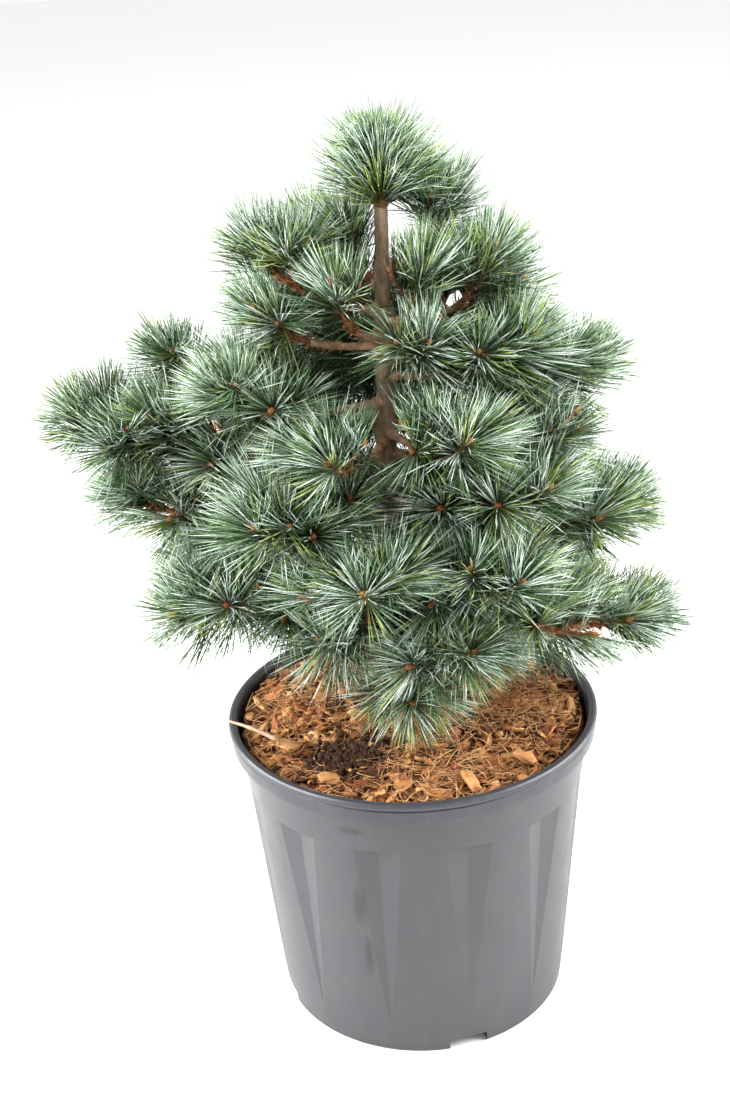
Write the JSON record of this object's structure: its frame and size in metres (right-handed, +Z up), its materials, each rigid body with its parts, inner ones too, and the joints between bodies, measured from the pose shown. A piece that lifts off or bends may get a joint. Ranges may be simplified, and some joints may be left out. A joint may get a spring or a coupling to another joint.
{
  "type": "potted japanese white pine",
  "caption": "Young japanese white pine with tufts of blue-green needles on tiered boughs, growing out of bark mulch in a round fluted plastic nursery pot.",
  "frame": {"origin": "centre of the pot's flat underside", "axes": "+Z up, +Y towards the plant's back, +X to the right as the plant is seen from its front"},
  "size_m": [0.4372, 0.3437, 0.6334],
  "materials": {
    "pot": "satin",
    "soil": "matte",
    "trunk": "matte",
    "boughs": "matte",
    "needles": "matte"
  },
  "bodies": {
    "root": {"bough_arm_left": "boughs", "bough_base_face": "boughs", "bough_base_face_right": "boughs", "bough_base_far_right": "boughs", "bough_base_left": "boughs", "bough_first_back_left": "boughs", "bough_first_back_right": "boughs", "bough_first_face_left": "boughs", "bough_first_left": "boughs", "bough_first_right": "boughs", "bough_second_back": "boughs", "bough_second_far_left": "boughs", "bough_second_far_right": "boughs", "bough_second_left": "boughs", "bough_second_right": "boughs", "bough_third_left": "boughs", "bough_upper_left": "boughs", "needles_arm_left": "needles", "needles_base_back": "needles", "needles_base_back_left": "needles", "needles_base_back_right": "needles", "needles_base_face": "needles", "needles_base_face_right": "needles", "needles_base_far_right": "needles", "needles_base_front": "needles", "needles_base_left": "needles", "needles_base_low_left": "needles", "needles_base_low_right": "needles", "needles_base_right": "needles", "needles_crest_left": "needles", "needles_crest_right": "needles", "needles_face_left": "needles", "needles_face_middle": "needles", "needles_face_right": "needles", "needles_first_back_left": "needles", "needles_first_back_right": "needles", "needles_first_face_left": "needles", "needles_first_face_right": "needles", "needles_first_left": "needles", "needles_first_right": "needles", "needles_leader": "needles", "needles_second_back": "needles", "needles_second_back_left": "needles", "needles_second_face": "needles", "needles_second_face_left": "needles", "needles_second_far_left": "needles", "needles_second_far_right": "needles", "needles_second_left": "needles", "needles_second_right": "needles", "needles_third_back_left": "needles", "needles_third_back_right": "needles", "needles_third_left": "needles", "needles_third_right": "needles", "needles_upper_back": "needles", "needles_upper_far_right": "needles", "needles_upper_left": "needles", "needles_upper_right": "needles", "pot": "pot", "soil": "soil", "trunk": "trunk"}
  },
  "joints": []
}
